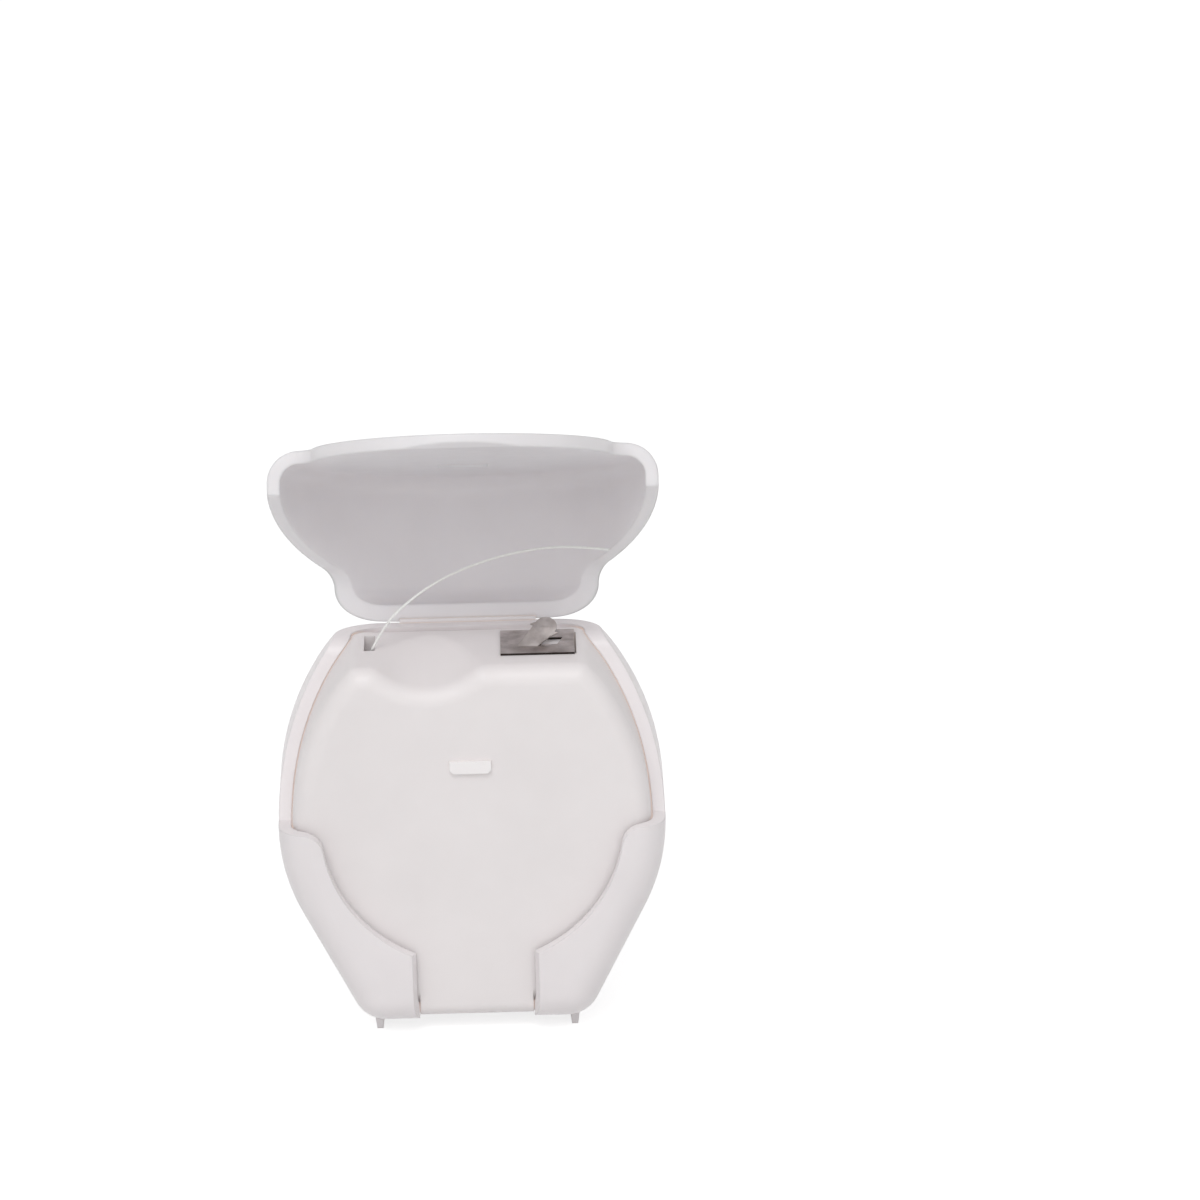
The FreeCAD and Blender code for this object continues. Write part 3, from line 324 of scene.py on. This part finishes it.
def spline_points(name, route):
    """Points along a smooth NURBS curve with the route as its control points."""
    curve = bpy.data.curves.new(name, "CURVE")
    curve.dimensions = "3D"
    spline = curve.splines.new("NURBS")
    spline.points.add(len(route) - 1)
    for point, place in zip(spline.points, route):
        point.co = (*place, 1.0)
    spline.order_u = CURVE_ORDER
    spline.use_endpoint_u = True
    spline.resolution_u = CURVE_STEPS
    line = bpy.data.objects.new(name, curve)
    bpy.context.scene.collection.objects.link(line)
    bpy.context.view_layer.update()
    mesh = bpy.data.meshes.new_from_object(line.evaluated_get(bpy.context.evaluated_depsgraph_get()))
    points = [vertex.co.copy() for vertex in mesh.vertices]
    bpy.data.objects.remove(line)
    bpy.data.meshes.remove(mesh)
    return points


def thread(name, points, diameter, material, sides=12):
    """A closed round tube along points, with flat ends."""
    vertices = []
    faces = []
    tangent = (points[1] - points[0]).normalized()
    across = tangent.orthogonal().normalized()
    rings = len(points)
    for index, point in enumerate(points):
        ahead = points[min(index + 1, rings - 1)]
        behind = points[max(index - 1, 0)]
        tangent = (ahead - behind).normalized()
        across = (across - tangent * across.dot(tangent)).normalized()
        beside = tangent.cross(across)
        for step in range(sides):
            turn = 2 * math.pi * step / sides
            outward = across * math.cos(turn) + beside * math.sin(turn)
            vertices.append(point + outward * diameter / 2)
    for ring in range(rings - 1):
        for step in range(sides):
            following = (step + 1) % sides
            first = ring * sides
            second = first + sides
            faces.append((first + step, first + following, second + following, second + step))
    faces.append(tuple(reversed(range(sides))))
    faces.append(tuple(range((rings - 1) * sides, rings * sides)))
    return new_object(name, vertices, faces, material)


def wound_floss(name, node, material, rounds=96, steps=6):
    """Floss wound on the hub: a closed ring whose outside is rows of turns that run as a helix."""
    low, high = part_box(node)
    outside = (high[0] - low[0]) / 2
    rows = WINDING_TURNS * steps
    section = [(HUB_RADIUS, low[1]), (HUB_RADIUS, high[1])]
    section += [(outside, high[1] - (high[1] - low[1]) * row / rows) for row in range(rows + 1)]
    vertices = []
    faces = []
    for turn in range(rounds):
        angle = 2 * math.pi * turn / rounds
        for index, (radius, along) in enumerate(section):
            if index > 1:
                swell = math.sin(math.pi * (index - 2) / steps + angle / 2)
                radius -= FLOSS_DIAMETER / 2 * (1 - abs(swell))
            place = (radius * math.cos(angle), along, SPOOL_AXIS_Z + radius * math.sin(angle))
            vertices.append(place)
    size = len(section)
    for turn in range(rounds):
        first = turn * size
        second = (turn + 1) % rounds * size
        for index in range(size):
            following = (index + 1) % size
            faces.append((first + index, second + index, second + following, first + following))
    return new_object(name, vertices, faces, material)


# Finishes.
case_plastic = moulded_plastic(
    "case_plastic", srgb(240, 235, 236), srgb(236, 231, 232),
    roughness=0.36, subsurface=0.12, radius=0.9 * MM, edge=0.3 * MM,
)
housing_plastic = moulded_plastic(
    "housing_plastic", srgb(240, 235, 235), srgb(236, 231, 231),
    roughness=0.42, subsurface=0.12, radius=0.9 * MM, rib=(HOUSING_FRONT, RIB_BOTTOM),
)
lid_plastic = moulded_plastic(
    "lid_plastic", srgb(235, 232, 234), srgb(231, 228, 230),
    roughness=0.36, subsurface=0.6, radius=2.6 * MM, edge=0.5 * MM,
)
spool_plastic = moulded_plastic(
    "spool_plastic", srgb(236, 236, 232), srgb(230, 230, 226),
    roughness=0.5, subsurface=0.1, radius=0.8 * MM,
)
film = label_film()
steel = cutter_steel()
floss = waxed_floss()

dress("outer_case", case_plastic)
dress("hinge_web", case_plastic)
dress("inner_housing", housing_plastic)
dress("lid", lid_plastic)
dress("lid_label", film)
dress("floss_spool", spool_plastic)
dress("floss_cutter", steel)

# Free end of the floss.
exit_point = Vector((EXIT_X * MM, HINGE.y, HINGE.z))
route = [exit_point + Vector(point) * MM for point in STRAND_ROUTE]
strand_line = spline_points("strand_line", route)
strand = thread("floss_thread", strand_line, FLOSS_DIAMETER, floss)
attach(strand, "housing")
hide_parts("floss_strand")
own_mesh(strand)

# Floss inside the case.
lead_line = spline_points("lead_line", [Vector(point) * MM for point in LEAD_ROUTE])
lead = thread("floss_lead_thread", lead_line, FLOSS_DIAMETER, floss)
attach(lead, "housing")
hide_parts("floss_lead")
winding = wound_floss("floss_turns", "floss_winding", floss)
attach(winding, "spool")
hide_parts("floss_winding")


# Stage, light and camera.
def make_floor():
    """Pale floor: white to the camera and in reflections, and it keeps the soft shadow."""
    reach = FLOOR_REACH
    corners = [(-reach, -reach, 0), (reach, -reach, 0), (reach, reach, 0), (-reach, reach, 0)]
    material = bpy.data.materials.new("floor_white")
    material.use_nodes = True
    nodes = material.node_tree.nodes
    links = material.node_tree.links
    nodes.remove(nodes["Principled BSDF"])
    output = nodes["Material Output"]
    plain = nodes.new("ShaderNodeBsdfDiffuse")
    plain.inputs["Color"].default_value = FLOOR_PLAIN
    shadowed = nodes.new("ShaderNodeBsdfDiffuse")
    shadowed.inputs["Color"].default_value = FLOOR_SHADOWED
    glow = nodes.new("ShaderNodeEmission")
    glow.inputs["Strength"].default_value = FLOOR_GLOW
    seen = nodes.new("ShaderNodeAddShader")
    links.new(shadowed.outputs[0], seen.inputs[0])
    links.new(glow.outputs[0], seen.inputs[1])
    choose = nodes.new("ShaderNodeMixShader")
    links.new(direct_view(material.node_tree), choose.inputs["Fac"])
    links.new(plain.outputs[0], choose.inputs[1])
    links.new(seen.outputs[0], choose.inputs[2])
    links.new(choose.outputs[0], output.inputs["Surface"])
    floor = new_object("floor", corners, [(0, 1, 2, 3)], material, smooth=False)


def direct_view(tree):
    """1 for rays of the camera and for reflected or transmitted ones, else 0."""
    path = tree.nodes.new("ShaderNodeLightPath")
    largest = path.outputs["Is Camera Ray"]
    for name in ("Is Glossy Ray", "Is Transmission Ray"):
        node = tree.nodes.new("ShaderNodeMath")
        node.operation = "MAXIMUM"
        tree.links.new(largest, node.inputs[0])
        tree.links.new(path.outputs[name], node.inputs[1])
        largest = node.outputs[0]
    return largest


def make_world(ambient):
    """Even studio light all round, white where it is seen directly."""
    world = bpy.data.worlds.new("studio")
    bpy.context.scene.world = world
    world.use_nodes = True
    tree = world.node_tree
    soft = tree.nodes["Background"]
    soft.inputs["Color"].default_value = (1.0, 1.0, 1.0, 1.0)
    soft.inputs["Strength"].default_value = ambient
    white = tree.nodes.new("ShaderNodeBackground")
    white.inputs["Strength"].default_value = 1.0
    choose = tree.nodes.new("ShaderNodeMixShader")
    tree.links.new(direct_view(tree), choose.inputs["Fac"])
    tree.links.new(soft.outputs[0], choose.inputs[1])
    tree.links.new(white.outputs[0], choose.inputs[2])
    tree.links.new(choose.outputs[0], tree.nodes["World Output"].inputs["Surface"])


def make_softbox(name, place, target, width, power):
    """Round soft lamp aimed at a point."""
    light = bpy.data.lights.new(name, "AREA")
    light.shape = "DISK"
    light.size = width
    light.energy = power
    lamp = bpy.data.objects.new(name, light)
    lamp.location = place
    lamp.rotation_euler = (Vector(target) - Vector(place)).to_track_quat("-Z", "Y").to_euler()
    bpy.context.scene.collection.objects.link(lamp)


def make_camera():
    """Long lens, aimed so that the hinge line falls on its pixel of the photograph."""
    heading = Vector((math.sin(CAMERA_AZIMUTH), math.cos(CAMERA_AZIMUTH), 0))
    ahead = heading * math.cos(CAMERA_ELEVATION) - Vector((0, 0, math.sin(CAMERA_ELEVATION)))
    level = Vector((math.cos(CAMERA_AZIMUTH), -math.sin(CAMERA_AZIMUTH), 0))
    above = heading * math.sin(CAMERA_ELEVATION) + Vector((0, 0, math.cos(CAMERA_ELEVATION)))
    right = level * math.cos(CAMERA_ROLL) - above * math.sin(CAMERA_ROLL)
    up = level * math.sin(CAMERA_ROLL) + above * math.cos(CAMERA_ROLL)
    aside = (HINGE_PIXEL[0] - PHOTO_SIZE / 2) / PIXELS_PER_MM * MM
    raised = (PHOTO_SIZE / 2 - HINGE_PIXEL[1]) / PIXELS_PER_MM * MM
    place = HINGE - ahead * CAMERA_DISTANCE - right * aside - up * raised
    lens = bpy.data.cameras.new("camera")
    lens.sensor_width = SENSOR
    lens.lens = SENSOR * CAMERA_DISTANCE / (PHOTO_SIZE / PIXELS_PER_MM * MM)
    lens.clip_start = NEAREST
    lens.clip_end = FARTHEST
    camera = bpy.data.objects.new("camera", lens)
    axes = Matrix((right, up, -ahead)).transposed().to_4x4()
    camera.matrix_world = Matrix.Translation(place) @ axes
    bpy.context.scene.collection.objects.link(camera)
    bpy.context.scene.camera = camera


make_floor()
make_world(AMBIENT)
for name, place, width, power in LAMPS:
    make_softbox(name, place, LAMP_TARGET, width, power)
make_camera()
bpy.context.scene.view_settings.view_transform = "Standard"
